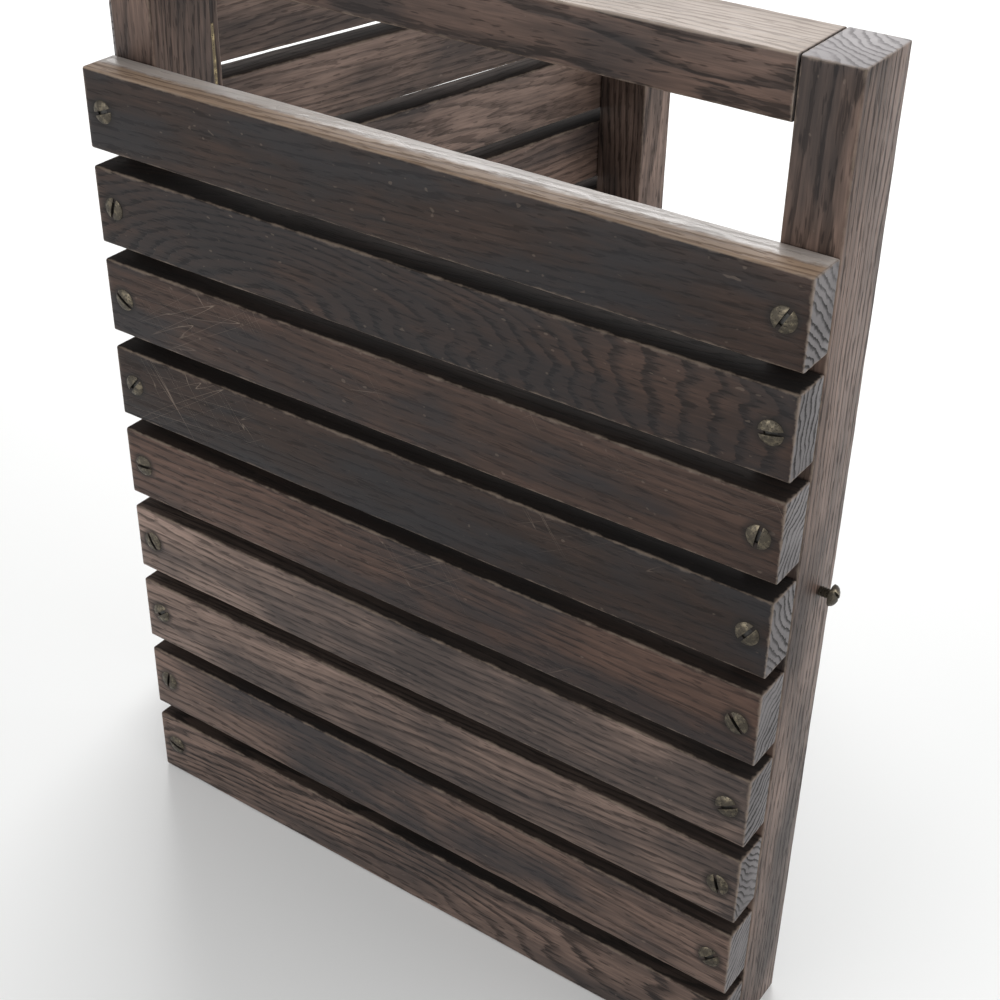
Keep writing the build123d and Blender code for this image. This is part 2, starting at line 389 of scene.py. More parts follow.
def new_group(
    name: str, inputs: dict[str, str], outputs: dict[str, str]
) -> tuple[bpy.types.NodeTree, Wiring, bpy.types.NodeOutputs, bpy.types.NodeInputs]:
    """A shader node group with named sockets.

    Args:
        name: The group's name.
        inputs: A socket type for each input's name.
        outputs: A socket type for each output's name.

    Returns:
        The group, its wiring, its inputs' sockets and its outputs' sockets.
    """
    tree = bpy.data.node_groups.new(name, "ShaderNodeTree")
    for direction, sockets in (("INPUT", inputs), ("OUTPUT", outputs)):
        for label, kind in sockets.items():
            tree.interface.new_socket(name=label, in_out=direction, socket_type=kind)
    wiring = Wiring(tree)
    return tree, wiring, wiring.node("NodeGroupInput").outputs, wiring.node("NodeGroupOutput").inputs


def board_shape_group() -> bpy.types.NodeTree:
    """Where a point lies on a board: on its end grain, near a worn edge, or near a screw.

    Returns:
        The group.
    """
    tree, w, given, out = new_group(
        "BoardShape",
        {"Place": VECTOR, "Half Size": VECTOR, "Edge Width": NUMBER, "Screw Reach": NUMBER},
        dict.fromkeys(("End", "Edge", "Near Screw", "Top", "Inner Half"), NUMBER),
    )
    depth = w.vector("SUBTRACT", given["Half Size"], w.vector("ABSOLUTE", given["Place"]))
    end_depth, side_depth, face_depth = w.parts(depth)
    w.feed(out["End"], w.ramp(end_depth, 0.0003, 0.0009, 1.0, 0.0))
    low = w.math("MINIMUM", end_depth, side_depth)
    high = w.math("MAXIMUM", end_depth, side_depth)
    second = w.math("MAXIMUM", low, w.math("MINIMUM", high, face_depth))
    chips = w.noise(given["Place"], (150.0, 300.0, 300.0), 3.0, 0.6)
    width = w.times(given["Edge Width"], w.ramp(chips, 0.32, 0.78, 0.55, 1.5))
    w.feed(out["Edge"], w.ramp(second, 0.0, width, 1.0, 0.0))
    x, y, z = w.parts(given["Place"])
    uneven = w.times(w.minus(chips, 0.5), 0.006)
    w.feed(out["Inner Half"], w.ramp(w.plus(y, uneven), -0.002, 0.002))
    _, _, half_height = w.parts(given["Half Size"])
    w.feed(out["Top"], w.ramp(w.minus(half_height, z), 0.0005, 0.0013, 1.0, 0.0))
    off_x = w.minus(w.math("ABSOLUTE", x), given["Screw Reach"])
    reach = w.vector("LENGTH", w.whole(off_x, 0.0, z))
    w.feed(out["Near Screw"], w.ramp(reach, 0.0048, 0.0078, 1.0, 0.0))
    return tree


def oak_figure_group() -> bpy.types.NodeTree:
    """The figure of oak cut from a log: year rings round a leaning heart, with pores and fibres.

    Returns:
        The group.
    """
    tree, w, given, out = new_group(
        "OakFigure",
        {**dict.fromkeys(("Place", "Seed", "Heart", "Lean"), VECTOR), "Ring Width": NUMBER, "Ripple": NUMBER},
        dict.fromkeys(("Rings", "Pores", "Fibre", "Cloud", "Specks"), NUMBER),
    )
    seeded = w.vector("ADD", given["Place"], given["Seed"])
    x, _, _ = w.parts(given["Place"])
    ripple = w.noises(seeded, (9.0, 26.0, 26.0), 2.0, 0.45)["Color"]
    ripple = w.vector("SUBTRACT", ripple, (0.5, 0.5, 0.5))
    ripple = w.vector("SCALE", ripple, scale=given["Ripple"])
    leant = w.vector("SCALE", given["Lean"], scale=x)
    from_heart = w.vector("SUBTRACT", given["Place"], w.vector("ADD", given["Heart"], leant))
    from_heart = w.vector("ADD", from_heart, ripple)
    from_heart = w.vector("MULTIPLY", from_heart, (0.0, 1.0, 1.0))
    distance = w.vector("LENGTH", from_heart)
    tremor = w.noise(seeded, (22.0, 330.0, 330.0), 3.0, 0.65)
    drift = w.noise(seeded, (5.0, 75.0, 75.0), 1.0, 0.5)
    count = w.math("DIVIDE", distance, given["Ring Width"])
    count = w.plus(count, w.times(tremor, 0.7))
    count = w.plus(count, w.times(drift, 2.2))
    year = w.math("FRACT", count)
    early = w.times(w.ramp(year, 0.0, 0.1), w.ramp(year, 0.16, 0.62, 1.0, 0.0))
    strength = w.noise(seeded, (4.0, 60.0, 60.0), 1.0)
    rings = w.times(early, w.ramp(strength, 0.25, 0.6, 0.35, 1.0))
    w.feed(out["Rings"], rings)
    fine = w.noise(seeded, (120.0, 900.0, 900.0), 1.0, 0.6)
    long = w.noise(seeded, (30.0, 620.0, 620.0), 2.0, 0.7)
    limit = w.minus(0.62, w.times(early, 0.15))
    pores = w.minus(w.math("MAXIMUM", fine, w.times(long, 0.96)), limit)
    w.feed(out["Pores"], w.times(pores, 11.0, clamp=True))
    w.feed(out["Fibre"], long)
    w.feed(out["Cloud"], w.noise(seeded, (9.0, 30.0, 30.0), 4.0, 0.6))
    specks = w.noise(seeded, (330.0, 560.0, 560.0), 0.0)
    w.feed(out["Specks"], w.ramp(specks, 0.8, 0.87))
    return tree


def scratches_group() -> bpy.types.NodeTree:
    """Fine stray scratches in two directions, bunched in a few places.

    Returns:
        The group.
    """
    tree, w, given, out = new_group(
        "Scratches", {"Place": VECTOR, "Seed": VECTOR, "Spread": NUMBER}, {"Marks": NUMBER}
    )
    x, y, z = w.parts(w.vector("ADD", given["Place"], given["Seed"]))
    bunch = w.noise(w.whole(x, y, z), (13.0, 20.0, 30.0), 1.0)
    total = None
    for turn, stretch, thin in ((0.55, 150.0, 0.0035), (-0.95, 190.0, 0.0028), (0.12, 120.0, 0.003)):
        along = w.plus(w.times(x, math.cos(turn)), w.times(z, math.sin(turn)))
        over = w.minus(w.times(z, math.cos(turn)), w.times(x, math.sin(turn)))
        lines = w.noise(w.whole(along, y, over), (5.0, 2.0, stretch), 1.0, 0.35)
        gap = w.math("ABSOLUTE", w.minus(lines, 0.5))
        mark = w.ramp(gap, 0.0, thin, 1.0, 0.0)
        total = mark if total is None else w.math("MAXIMUM", total, mark)
    limit = w.minus(1.0, given["Spread"])
    where = w.ramp(bunch, limit, w.plus(limit, 0.16))
    w.feed(out["Marks"], w.times(total, where))
    return tree


def tarnish_group() -> bpy.types.NodeTree:
    """Blotches of brown tarnish, specks of dirt and bright rubbed places on brass.

    Returns:
        The group.
    """
    tree, w, given, out = new_group(
        "Tarnish",
        {"Place": VECTOR, "Bright": COLOUR, "Dull": COLOUR, "Dirt": COLOUR},
        {"Colour": COLOUR, "Roughness": NUMBER, "Height": NUMBER},
    )
    blotch = w.noise(given["Place"], (420.0, 420.0, 420.0), 4.0, 0.62)
    speck = w.noise(given["Place"], (1900.0, 1900.0, 1900.0), 2.0, 0.6)
    rubbed = w.ramp(blotch, 0.46, 0.66)
    dirty = w.ramp(speck, 0.56, 0.7)
    colour = w.mix(rubbed, given["Dull"], given["Bright"])
    w.feed(out["Colour"], w.mix(dirty, colour, given["Dirt"]))
    rough = w.plus(w.ramp(blotch, 0.4, 0.7, 0.5, 0.3), w.times(dirty, 0.25))
    w.feed(out["Roughness"], rough)
    w.feed(out["Height"], w.minus(blotch, w.times(dirty, 0.5)))
    return tree


@dataclass(frozen=True)
class Look:
    """The look of the piece of wood that one board was cut from, how worn it is, and how much painted sheen
    its faces take.
    """

    seed: float
    heart: Triple
    lean: Triple
    ring_width: float = 0.0032
    ripple: float = 0.008
    contrast: float = 0.85
    tone: float = 1.0
    # How much painted blue-grey sheen shows in patches.
    blue_grey_sheen: float = 0.35
    scratched: float = 0.34
    edge_wear: float = 0.75
    # How much of the top face shows rubbed bare wood with a painted sheen over it.
    top_wear_and_sheen: float = 0.0
    # How much of the top colour is painted white sheen, over the whole top and over its inner half.
    sheen_share: float = 0.0
    inner_sheen_share: float = 0.0
    end_tone: float = 1.0


class Effects:
    """The shared shader node groups, each of which is made once."""

    def __init__(self) -> None:
        """Builds the groups."""
        self.board_shape = board_shape_group()
        self.oak_figure = oak_figure_group()
        self.scratches = scratches_group()
        self.tarnish = tarnish_group()


@dataclass(frozen=True)
class OakFinish:
    """Dark stained oak with thin worn varnish."""

    pale: Colour = (0.066, 0.038, 0.028, 1.0)
    # Mixed in for tones above 1; on the lower front slats it is partly painted bounce light from the floor.
    lighter_grey: Colour = (0.062, 0.049, 0.042, 1.0)
    dark: Colour = (0.016, 0.0105, 0.009, 1.0)
    pore: Colour = (0.005, 0.0035, 0.003, 1.0)
    worn: Colour = (0.27, 0.21, 0.165, 1.0)
    # A painted blue-grey sheen, mixed in where the cloud noise is low.
    blue_grey_sheen: Colour = (0.03, 0.031, 0.035, 1.0)
    rubbed: Colour = (0.4, 0.285, 0.2, 1.0)
    rubbed_grain: Colour = (0.24, 0.165, 0.115, 1.0)
    # A painted white sheen on the tops of the rails and of the top slats.
    painted_white_sheen: Colour = (0.62, 0.58, 0.55, 1.0)
    end_pale: Colour = (0.2, 0.188, 0.19, 1.0)
    end_dark: Colour = (0.022, 0.02, 0.02, 1.0)
    # Nearly black: dirt round the screws, and painted shade on the slat tops in the gaps between slats.
    grime_and_shade: Colour = (0.01, 0.008, 0.007, 1.0)
    coat: float = 0.06
    coat_roughness: float = 0.35
    shine: float = 0.17
    bump: float = 0.35
    bump_depth: float = 0.4 * MM
    specks: float = 0.2
    scratches: float = 0.5
    # How far unworn top faces are darkened: painted shade in the gaps between slats.
    painted_gap_shade: float = 0.8
    screw_stain: float = 0.7
    edge_width: float = 1.5 * MM


class OakPainter:
    """Makes the oak material of one board, with the figure of its own piece of wood."""

    def __init__(self, finish: OakFinish, board: "Board", effects: Effects) -> None:
        """Starts the material and reads the shared groups at the board's place.

        Args:
            finish: The wood's colours and shine.
            board: The board, whose place, sizes and look are read.
            effects: The shared node groups.
        """
        self.finish, self.look = finish, board.look
        self.material, self.w, self.shader = new_material(board.name + "_oak")
        middle, turn = board.grain_frame()
        values = {"Vector": self.w.place(), "Location": middle, "Rotation": turn}
        place = self.w.node("ShaderNodeMapping", values, vector_type="TEXTURE").outputs["Vector"]
        shared = {"Place": place, "Seed": tuple(self.look.seed * part for part in (1.37, 0.71, 0.53))}
        figure = {"Ring Width": self.look.ring_width, "Ripple": self.look.ripple}
        figure = {**shared, "Heart": self.look.heart, "Lean": self.look.lean, **figure}
        shape = {"Half Size": board.half_size(), "Edge Width": finish.edge_width}
        shape = {"Place": place, **shape, "Screw Reach": board.screw_reach}
        self.figure = self.w.group(effects.oak_figure, figure)
        self.shape = self.w.group(effects.board_shape, shape)
        marks = self.w.group(effects.scratches, {**shared, "Spread": self.look.scratched})
        below_top = self.w.minus(finish.scratches, self.w.times(self.shape["Top"], finish.scratches))
        self.scratch = self.w.times(marks["Marks"], below_top)
        # Unworn top faces darken towards the near-black colour: painted shade in the gaps between slats.
        self.painted_gap_shade = self.w.times(self.shape["Top"], finish.painted_gap_shade if self.look.top_wear_and_sheen == 0.0 else 0.0)

    def paint(self) -> bpy.types.Material:
        """The finished material.

        Returns:
            The material.
        """
        w, finish, shape, shader = self.w, self.finish, self.shape, self.shader
        colour = self._worn_and_sheened_top(self._wood())
        # Painted gap shade on the unworn tops.
        colour = w.mix(self.painted_gap_shade, colour, finish.grime_and_shade)
        colour = w.mix(shape["End"], colour, self._end_grain())
        colour = w.mix(w.times(shape["Edge"], self.look.edge_wear), colour, finish.worn)
        colour = w.mix(self.scratch, colour, finish.worn)
        colour = w.mix(w.times(shape["Near Screw"], finish.screw_stain), colour, finish.grime_and_shade)
        w.feed(shader.inputs["Base Color"], colour)
        w.feed(shader.inputs["Roughness"], self._roughness())
        bare = w.times(w.math("MAXIMUM", shape["End"], self.painted_gap_shade), finish.coat)
        w.feed(shader.inputs["Coat Weight"], w.minus(finish.coat, bare, clamp=True))
        shader.inputs["Coat Roughness"].default_value = finish.coat_roughness
        shader.inputs["Specular IOR Level"].default_value = finish.shine
        height = w.plus(w.times(self.figure["Pores"], -0.8), w.times(self.figure["Rings"], -0.45))
        height = w.plus(height, w.times(self.figure["Fibre"], 0.3))
        w.bump(shader, w.minus(height, self.scratch), finish.bump, finish.bump_depth)
        return self.material

    def _wood(self) -> Socket:
        """The stained wood's colour, with a painted blue-grey sheen in patches and a lighter grey mixed in
        for tones above 1.

        Returns:
            The colour.
        """
        w, finish, figure, look = self.w, self.finish, self.figure, self.look
        # Tones above 1 mix in the lighter grey; on the lower front slats this is partly painted bounce light
        # from the floor.
        stained, bare = min(look.tone, 1.0), max(look.tone - 1.0, 0.0)
        tone = tuple(stained * a + bare * b for a, b in zip(finish.pale[:3], finish.lighter_grey[:3])) + (1.0,)
        colour = w.mix(w.times(figure["Rings"], look.contrast), tone, finish.dark)
        colour = w.mix(w.times(figure["Pores"], 0.3 + 0.4 * look.contrast), colour, finish.pore)
        colour = w.shade(colour, w.ramp(figure["Cloud"], 0.3, 0.7, 0.5, 1.55))
        colour = w.shade(colour, w.ramp(figure["Fibre"], 0.35, 0.7, 0.78, 1.25))
        # Painted blue-grey sheen in patches.
        colour = w.mix(w.ramp(figure["Cloud"], 0.36, 0.56, look.blue_grey_sheen, 0.0), colour, finish.blue_grey_sheen)
        return w.mix(w.times(figure["Specks"], finish.specks), colour, finish.worn)

    def _worn_and_sheened_top(self, colour: Socket) -> Socket:
        """The colour with the top face rubbed bare by hands, and with a painted white sheen over it.

        Args:
            colour: The colour of the wood that is not rubbed.

        Returns:
            The new colour.
        """
        w, finish, figure, look = self.w, self.finish, self.figure, self.look
        top = w.mix(w.math("MAXIMUM", figure["Pores"], figure["Rings"]), finish.rubbed, finish.rubbed_grain)
        # Painted white sheen: over the whole top, and more over its inner half.
        sheen_share = w.plus(w.times(self.shape["Inner Half"], look.inner_sheen_share), look.sheen_share)
        top = w.mix(sheen_share, top, finish.painted_white_sheen)
        # How much of the top shows the rubbed wood with its painted sheen.
        wear = w.ramp(figure["Cloud"], 0.25, 0.6, look.top_wear_and_sheen * 0.7, look.top_wear_and_sheen)
        return w.mix(w.times(self.shape["Top"], wear), colour, top)

    def _end_grain(self) -> Socket:
        """The colour of the board's bare ends.

        Returns:
            The colour.
        """
        w, finish, tone = self.w, self.finish, self.look.end_tone
        pale = tuple(tone * channel for channel in finish.end_pale[:3]) + (1.0,)
        end = w.mix(w.times(self.figure["Rings"], 0.95 / tone), pale, finish.end_dark)
        return w.mix(w.ramp(self.figure["Cloud"], 0.35, 0.7, 0.3 / tone, 0.0), end, finish.end_dark)

    def _roughness(self) -> Socket:
        """The roughness: open pores and ends are rough, and handled tops are smoother.

        Returns:
            The roughness.
        """
        w, figure, shape = self.w, self.figure, self.shape
        rough = w.plus(w.ramp(figure["Cloud"], 0.3, 0.7, 0.5, 0.36), w.times(figure["Pores"], 0.2))
        polish = w.times(shape["Inner Half"], -0.4 * self.look.inner_sheen_share)
        dust = 0.15 if self.look.top_wear_and_sheen > 0.5 else 0.5
        rough = w.plus(rough, w.times(shape["Top"], w.plus(polish, dust)))
        return w.plus(rough, w.times(shape["End"], 0.22), clamp=True)


@dataclass(frozen=True)
class BrassFinish:
    """Old brass, dulled by years of handling."""

    name: str
    bright: Colour = (0.16, 0.135, 0.095, 1.0)
    dull: Colour = (0.07, 0.06, 0.046, 1.0)
    dirt_and_shade: Colour = (0.02, 0.017, 0.013, 1.0)
    metal: float = 0.85
    bump: float = 0.3
    bump_depth: float = 0.1 * MM

    def dress(self, effects: Effects) -> bpy.types.Material:
        """The brass material.

        Args:
            effects: The shared node groups.

        Returns:
            The new material.
        """
        material, w, shader = new_material(self.name)
        colours = {"Bright": self.bright, "Dull": self.dull, "Dirt": self.dirt_and_shade}
        tarnish = w.group(effects.tarnish, {"Place": w.place(), **colours})
        w.feed(shader.inputs["Base Color"], tarnish["Colour"])
        w.feed(shader.inputs["Roughness"], tarnish["Roughness"])
        shader.inputs["Metallic"].default_value = self.metal
        w.bump(shader, tarnish["Height"], self.bump, self.bump_depth)
        return material


@dataclass(frozen=True)
class DowelFinish:
    """Bare pale beech, as dowels are turned from."""

    pale: Colour = (0.5, 0.36, 0.24, 1.0)
    dark: Colour = (0.36, 0.24, 0.15, 1.0)

    def dress(self) -> bpy.types.Material:
        """The dowels' material, with fine flecks.

        Returns:
            The material.
        """
        material, w, shader = new_material("beech_dowels")
        fleck = w.noise(w.place(), (300.0, 300.0, 1200.0), 3.0, 0.6)
        w.feed(shader.inputs["Base Color"], w.mix(w.ramp(fleck, 0.4, 0.65), self.pale, self.dark))
        w.feed(shader.inputs["Roughness"], w.ramp(fleck, 0.3, 0.7, 0.5, 0.7))
        return material


@dataclass(frozen=True)
class Leaf:
    """One leaf's directions: x along it from the hinge, y to the left of that, z up."""

    name: str
    degrees: float
    side: int

    def matrix(self) -> Matrix:
        """Carries the leaf's own directions to the rack's."""
        return Matrix.Translation(HINGE_FOOT) @ Matrix.Rotation(math.radians(self.degrees), 4, "Z")

    def spot(self, along: float, out: float, up: float) -> Vector:
        """A place by its distances from the hinge post's outer face, the meeting face and the floor."""
        return Vector((POST_START + along, self.side * out, up))


@dataclass
class Board:
    """One board: its block, its worn edges, its holes and the figure of its wood."""

    name: str
    leaf: Leaf
    middle: Vector
    size: Vector
    grain: Grain
    look: Look
    screw_reach: float = 1.0
    rounding: float = 1.3 * MM
    end_rounding: float = 0.7 * MM
    cuts: list[Cut] = field(default_factory=list)
    step: float = 3.6 * MM
    wobble: float = 0.35 * MM
    wobble_scale: float = 60.0 * MM
    dents: float = 0.21 * MM
    dent_scale: float = 11.0 * MM

    def half_size(self) -> Vector:
        """Half the board's sizes, with the grain's direction first.

        Returns:
            The three half sizes.
        """
        if self.grain is Grain.ALONG:
            return self.size / 2
        return Vector((self.size.z, self.size.x, self.size.y)) / 2

    def grain_frame(self) -> tuple[Vector, Vector]:
        """Where the wood's own directions start and how they are turned, in the rack's frame.

        Returns:
            The place and the turns about x, y and z.
        """
        turn = self.leaf.matrix().to_3x3()
        if self.grain is Grain.UP:
            turn = turn @ Matrix(((0, 1, 0), (0, 0, 1), (1, 0, 0)))
        return self.leaf.matrix() @ self.middle, Vector(turn.to_euler("XYZ"))

    def build(self) -> bpy.types.Object:
        """Cuts the board to size, rounds its edges, wears it and bores it.

        Returns:
            The board, in its place on the rack.
        """
        piece = Bench.block(self.name, self.middle, self.size)
        Bench.edges(piece, self._is_lengthwise)
        bpy.ops.mesh.subdivide(number_cuts=round(self.size[self.grain.value] / self.step))
        Bench.done()
        for wanted, width, segments in (
            (self._is_long_edge, self.rounding, 3),
            (self._is_rim, self.end_rounding, 2),
        ):
            Bench.edges(piece, wanted)
            bpy.ops.mesh.bevel(offset=width, segments=segments, profile=0.5, affect="EDGES")
            Bench.done()
        self._wear(piece)
        if self.cuts:
            Bench.subtract(piece, self._cutter())
        Bench.place(piece, self.leaf.matrix())
        Bench.smooth(piece, 32.0)
        return piece

    def _is_lengthwise(self, first: Vector, last: Vector) -> bool:
        """Whether an edge runs with the grain."""
        return abs(first[self.grain.value] - last[self.grain.value]) > TOUCH

    def _is_long_edge(self, first: Vector, last: Vector) -> bool:
        """Whether an edge lies on one of the board's four long edges."""
        sides = [self._on_side(first, last, i) for i in range(3) if i != self.grain.value]
        return self._is_lengthwise(first, last) and all(sides)

    def _is_rim(self, first: Vector, last: Vector) -> bool:
        """Whether an edge lies in one of the board's two ends."""
        return self._on_side(first, last, self.grain.value)

    def _on_side(self, first: Vector, last: Vector, axis: int) -> bool:
        """Whether an edge lies in one of the two sides across an axis."""
        limits = (self.middle[axis] - self.size[axis] / 2, self.middle[axis] + self.size[axis] / 2)
        return any(abs(first[axis] - limit) < TOUCH and abs(last[axis] - limit) < TOUCH for limit in limits)

    def _wear(self, piece: bpy.types.Object) -> None:
        """Wears the surface unevenly, only ever inwards.

        Args:
            piece: The board's mesh.
        """
        for scale, strength in ((self.wobble_scale, self.wobble), (self.dent_scale, self.dents)):
            texture = bpy.data.textures.new(self.name + "_wear", "CLOUDS")
            texture.noise_scale = scale
            texture.noise_depth = 1
            modifier = piece.modifiers.new("wear", "DISPLACE")
            modifier.texture = texture
            modifier.texture_coords = "LOCAL"
            modifier.mid_level = 1.0
            modifier.strength = strength
        Bench.apply(piece)

    def _cutter(self) -> bpy.types.Object:
        """All of the board's cutters as one mesh, in the leaf's directions.

        Returns:
            The joined cutters.
        """
        made = []
        for cut in self.cuts:
            Bench.clear()
            if cut.tap is Tap.POCKET:
                made.append(Bench.block("cutter", Vector(cut.middle), Vector(cut.size)))
                continue
            radius, depth, far_radius = cut.size
            turn = (0.0, math.pi / 2, 0.0) if cut.tap is Tap.BORE else (math.pi / 2, 0.0, 0.0)
            if cut.tap is Tap.SINK and self.leaf.side < 0:
                far_radius, radius = radius, far_radius
            sizes = {"radius1": radius, "radius2": far_radius, "depth": depth}
            bpy.ops.mesh.primitive_cone_add(vertices=32, location=cut.middle, rotation=turn, **sizes)
            Bench.settle()
            made.append(bpy.context.object)
        return Bench.join(made, "cutter")


@dataclass
class SlatScrew:
    """A countersunk screw with a low domed head and a hand-cut slot."""

    metal: bpy.types.Material
    # The slot's material: nearly black, as painted shade in the slot.
    grime_and_shade: bpy.types.Material
    head_radius: float = 4.8 * MM
    head_depth: float = 2.8 * MM
    shank_radius: float = 2.0 * MM
    length: float = 32.0 * MM
    slot_width: float = 1.5 * MM
    slot_depth: float = 1.6 * MM
    slot_middle: float = 1.0 * MM
    sunk: float = 0.25 * MM
    rounding: float = 0.14 * MM
    # How far each ring of the head's dome lies in from the last one and above it.
    dome: tuple[tuple[float, float], ...] = ((0.35, 0.22), (1.1, 0.33), (1.2, 0.2), (1.1, 0.08))
    # The shank's straight part, as a share of it, and how thin its tip is.
    straight_share: float = 0.8
    tip_share: float = 0.2

    def build(self) -> bpy.types.Object:
        """Models the screw with its head's rim at z 0, pointing down.

        Returns:
            The screw, to be copied.
        """
        Bench.clear()
        bpy.ops.mesh.primitive_cylinder_add(
            vertices=36, radius=self.head_radius, depth=self.head_depth, location=(0, 0, -self.head_depth / 2)
        )
        Bench.settle()
        piece = bpy.context.object
        for finish in (self.metal, self.grime_and_shade):
            piece.data.materials.append(finish)
        Bench.faces(piece, lambda face: face.normal.z > 0.9)
        for inset, rise in self.dome:
            bpy.ops.mesh.inset(thickness=inset * MM)
            bpy.ops.transform.translate(value=(0, 0, rise * MM))
        Bench.done()
        Bench.faces(piece, lambda face: face.normal.z < -0.9)
        self._narrow(self.shank_radius / self.head_radius)
        for share in (self.straight_share, 1.0 - self.straight_share):
            reach = (self.length - self.head_depth) * share
            bpy.ops.mesh.extrude_region_move(TRANSFORM_OT_translate={"value": (0, 0, -reach)})
        self._narrow(self.tip_share)
        Bench.done()
        slot_size = Vector((4 * self.head_radius, self.slot_width, 2 * self.slot_depth))
        Bench.subtract(piece, Bench.block("slot", Vector((0, 0, self.slot_middle)), slot_size))
        # The slot's faces take the second material: painted shade in the slot.
        for face in piece.data.polygons:
            if abs(face.center.y) < self.slot_width / 2 + TOUCH and face.center.z > -self.head_depth / 2:
                face.material_index = 1
        rounding = piece.modifiers.new("rounding", "BEVEL")
        rounding.width = self.rounding
        rounding.segments = 2
        rounding.limit_method = "ANGLE"
        rounding.angle_limit = math.radians(40)
        Bench.apply(piece)
        Bench.smooth(piece, 35.0)
        return piece

    @staticmethod
    def _narrow(share: float) -> None:
        """Draws what is selected in towards the screw's axis."""
        bpy.ops.transform.resize(value=(share, share, 1), center_override=(0, 0, 0))


@dataclass
class RoundHeadScrew:
    """A round-headed screw that stands proud, with thread showing on its neck."""

    head_radius: float = 4.2 * MM
    head_height: float = 2.8 * MM
    neck: float = 4.6 * MM
    shank_radius: float = 2.0 * MM
    depth: float = 17.0 * MM
    slot_width: float = 1.2 * MM
    slot_depth: float = 1.3 * MM
    thread_step: float = 1.1 * MM
    thread_slope: float = 6.0
    thread_share: float = 0.14
    overlap: float = 0.2 * MM

    def build(self, name: str) -> bpy.types.Object:
        """Models the screw on the z axis, with the wood's face at z 0.

        Args:
            name: The new piece's name.

        Returns:
            The screw.
        """
        return Bench.join([self._head(), self._shank(), *self._threads()], name)

    def _head(self) -> bpy.types.Object:
        """The round head with its slot.

        Returns:
            The head.
        """
        Bench.clear()
        bpy.ops.mesh.primitive_uv_sphere_add(segments=36, ring_count=20, radius=self.head_radius)
        piece = bpy.context.object
        Bench.pick(piece)
        bpy.ops.object.mode_set(mode="EDIT")
        bpy.ops.mesh.select_all(action="SELECT")
        bpy.ops.mesh.bisect(plane_co=(0, 0, 0), plane_no=(0, 0, 1), clear_inner=True, use_fill=True)
        bpy.ops.mesh.select_all(action="SELECT")
        bpy.ops.transform.resize(value=(1, 1, self.head_height / self.head_radius), center_override=(0, 0, 0))
        bpy.ops.transform.translate(value=(0, 0, self.neck))
        Bench.done()
        slot_size = Vector((4 * self.head_radius, self.slot_width, 2 * self.slot_depth))
        Bench.subtract(piece, Bench.block("slot", Vector((0, 0, self.neck + self.head_height)), slot_size))
        Bench.smooth(piece, 35.0)
        return piece

    def _shank(self) -> bpy.types.Object:
        """The core of the neck and of the part that is in the wood.

        Returns:
            The core.
        """
        Bench.clear()
        bpy.ops.mesh.primitive_cylinder_add(
            vertices=28,
            radius=self.shank_radius * (1 - self.thread_share),
            depth=self.depth + self.neck + self.overlap,
            location=(0, 0, (self.neck - self.depth) / 2),
        )
        Bench.settle()
        return bpy.context.object

    def _threads(self) -> list[bpy.types.Object]:
        """The turns of thread that show on the neck.

        Returns:
            A ring for each turn.
        """
        made = []
        for i in range(int(self.neck / self.thread_step)):
            Bench.clear()
            bpy.ops.mesh.primitive_torus_add(
                major_segments=28,
                minor_segments=8,
                major_radius=self.shank_radius * (1 - self.thread_share),
                minor_radius=self.shank_radius * self.thread_share,
                location=(0, 0, self.thread_step * (i + 0.5)),
                rotation=(math.radians(self.thread_slope), 0, 0),
            )
            made.append(bpy.context.object)
            Bench.settle()
            Bench.smooth(made[-1], 60.0)
        return made


